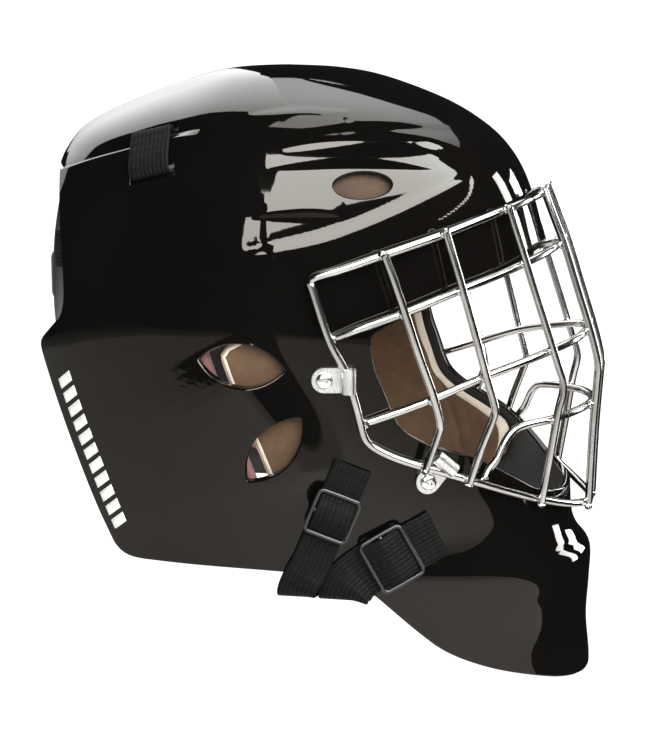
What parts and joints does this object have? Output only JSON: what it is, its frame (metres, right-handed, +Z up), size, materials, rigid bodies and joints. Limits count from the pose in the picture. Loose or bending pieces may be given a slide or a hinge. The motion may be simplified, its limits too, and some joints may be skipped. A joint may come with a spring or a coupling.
{
  "type": "goalie mask",
  "caption": "One-piece moulded goalie mask with a straight-bar wire cage, hinged back plate, foam lining, chin cup and webbing harness.",
  "frame": {"origin": "middle of the head cavity", "axes": "+X forward out of the face opening, +Y towards the wearer's left, +Z up towards the crown"},
  "size_m": [0.2905, 0.2202, 0.3118],
  "materials": {
    "shell_gloss": "polished black gel coat",
    "cage_steel": "bright plated wire",
    "clip_steel": "bright spring steel",
    "screw_steel": "zinc plated",
    "tan_leather": "matt suede",
    "foam": "soft brushed nylon",
    "sweatband": "towelling",
    "plate": "satin",
    "keeper": "satin",
    "buckle": "satin moulded",
    "webbing": "woven nylon",
    "cup": "soft matt",
    "decal": "printed"
  },
  "bodies": {
    "mask": {"shell": "shell_gloss", "cage_rim": "cage_steel", "upper_bar": "cage_steel", "lower_bar": "cage_steel", "mouth_bar": "cage_steel", "outer_upright_r": "cage_steel", "outer_upright_l": "cage_steel", "side_upright_r": "cage_steel", "side_upright_l": "cage_steel", "inner_upright_r": "cage_steel", "inner_upright_l": "cage_steel", "centre_upright_r": "cage_steel", "centre_upright_l": "cage_steel", "rear_clip_r": "clip_steel", "rear_clip_l": "clip_steel", "lower_clip_r": "clip_steel", "lower_clip_l": "clip_steel", "clip_screws": "screw_steel", "clip_nuts": "screw_steel", "jaw_pad_r": "tan_leather", "jaw_pad_l": "tan_leather", "rear_pad_r": "foam", "rear_pad_l": "foam", "brow_pad": "foam", "crown_pad": "foam", "sweatband": "sweatband", "top_anchor": "webbing", "side_straps_r": "webbing", "side_straps_l": "webbing", "strap_anchors": "buckle", "jaw_strap_a_r": "webbing", "jaw_strap_a_l": "webbing", "jaw_strap_b_r": "webbing", "jaw_strap_b_l": "webbing", "crown_strap_r": "webbing", "crown_strap_l": "webbing", "sling_strap_r": "webbing", "sling_strap_l": "webbing", "decal_r": "decal", "decal_l": "decal"},
    "back_plate_unit": {"back_plate": "plate", "plate_foam": "foam", "strap_keeper": "keeper", "top_strap": "webbing", "plate_straps_r": "webbing", "plate_straps_l": "webbing"},
    "slide_a_r_buckle": {"slide_a_r": "buckle"},
    "slide_a_l_buckle": {"slide_a_l": "buckle"},
    "slide_b_r_buckle": {"slide_b_r": "buckle"},
    "slide_b_l_buckle": {"slide_b_l": "buckle"},
    "cup": {"chin_cup": "cup"}
  },
  "joints": [
    {"name": "plate_hinge", "type": "hinge", "parent": "mask", "child": "back_plate_unit", "pos_m": [-0.11, 0, 0.084], "axis": [0, 1, 0], "range_deg": [0, 30]},
    {"name": "slide_a_r_slide", "type": "slide", "parent": "mask", "child": "slide_a_r_buckle", "axis": [-0.3824, -0.0067, -0.924], "range_m": [-0.004, 0.004]},
    {"name": "slide_a_l_slide", "type": "slide", "parent": "mask", "child": "slide_a_l_buckle", "axis": [-0.3824, 0.0067, -0.924], "range_m": [-0.004, 0.004]},
    {"name": "slide_b_r_slide", "type": "slide", "parent": "mask", "child": "slide_b_r_buckle", "axis": [-0.8266, -0.286, -0.4848], "range_m": [-0.004, 0.004]},
    {"name": "slide_b_l_slide", "type": "slide", "parent": "mask", "child": "slide_b_l_buckle", "axis": [-0.8266, 0.286, -0.4848], "range_m": [-0.004, 0.004]},
    {"name": "cup_tilt", "type": "hinge", "parent": "mask", "child": "cup", "pos_m": [0.086, 0, -0.106], "axis": [0, 1, 0], "range_deg": [-8, 10]}
  ]
}
